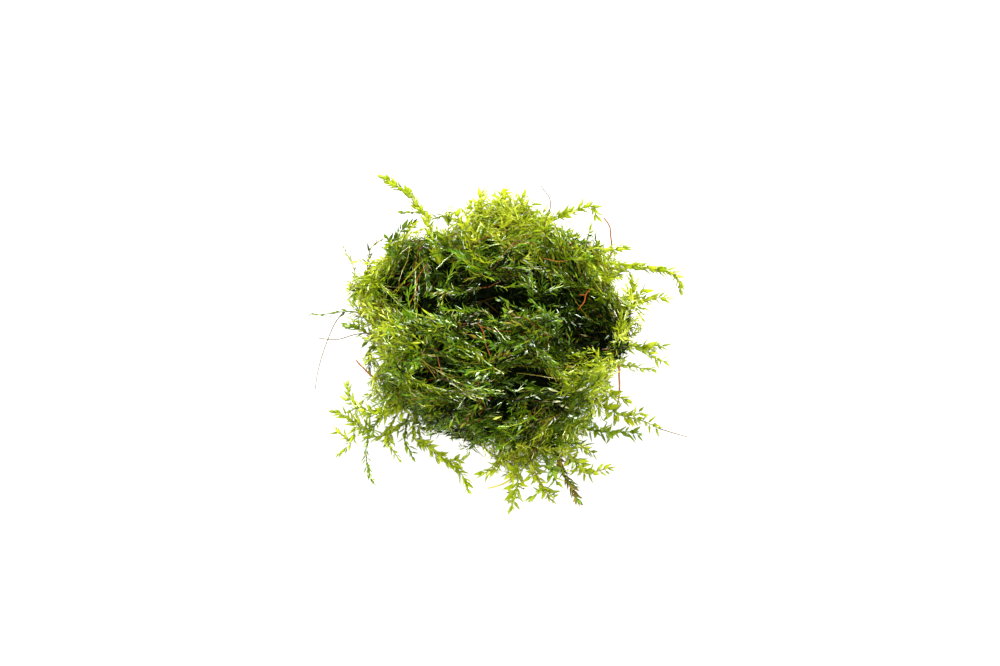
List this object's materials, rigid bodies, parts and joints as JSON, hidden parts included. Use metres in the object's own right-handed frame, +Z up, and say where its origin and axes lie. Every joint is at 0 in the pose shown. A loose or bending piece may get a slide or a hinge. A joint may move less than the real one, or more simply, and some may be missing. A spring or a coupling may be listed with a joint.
{
  "type": "moss clump",
  "caption": "Loose clump of leafy green moss: a tangled wad with a crease and a hollow in its top, a flattened underside, and stray shoots, bare stems and root hairs all round.",
  "frame": {"origin": "middle of the flattened patch that the wad rests on", "axes": "+X is the long way across the clump, to the right as seen from its front. -Y is the front, and +Z is up."},
  "size_m": [0.1019, 0.0897, 0.0479],
  "materials": {
    "moss": "wet, slightly glossy, translucent leaves",
    "bare_stem": "matte reddish brown",
    "root_hair": "matte, thin, pale brown"
  },
  "bodies": {
    "root": {"moss_wad": "moss", "shoot_back_left_tall": "moss", "shoot_back_left_arched": "moss", "shoot_left_arched": "moss", "shoot_left_upright": "moss", "shoot_left_outer": "moss", "shoot_left_level": "moss", "shoot_left_low": "moss", "shoot_top_1": "moss", "shoot_top_2": "moss", "shoot_top_3": "moss", "shoot_top_4": "moss", "shoot_back_right_arched": "moss", "root_hair_top": "root_hair", "shoot_back_right_twig": "moss", "bare_stem_right": "bare_stem", "shoot_right_bushy_1": "moss", "shoot_right_bushy_2": "moss", "shoot_right_long": "moss", "shoot_right_middle": "moss", "shoot_right_tip": "moss", "shoot_right_low": "moss", "shoot_right_low_fork": "moss", "shoot_right_thin": "moss", "bare_stem_right_low": "bare_stem", "shoot_front_right_high": "moss", "shoot_front_right": "moss", "root_hair_front_right": "root_hair", "shoot_front_right_dark": "moss", "shoot_front_right_short": "moss", "shoot_front_right_hooked": "moss", "shoot_front_brown": "moss", "shoot_front_raised": "moss", "shoot_front_2": "moss", "shoot_front_2_fork": "moss", "shoot_front_1": "moss", "bare_stem_front": "bare_stem", "shoot_front_crossing": "moss", "shoot_front_long": "moss", "shoot_front_left_short": "moss", "shoot_front_left_leaf": "moss", "shoot_front_left_down": "moss", "shoot_left_front_outer": "moss", "shoot_left_front_fork": "moss", "shoot_left_front_low": "moss", "shoot_left_front_dark": "moss", "bare_stem_left": "bare_stem", "shoot_left_bud": "moss", "root_hair_left": "root_hair", "root_hair_left_short": "root_hair", "shoot_back_1": "moss", "shoot_back_2": "moss", "shoot_back_3": "moss", "shoot_back_4": "moss"}
  },
  "joints": []
}
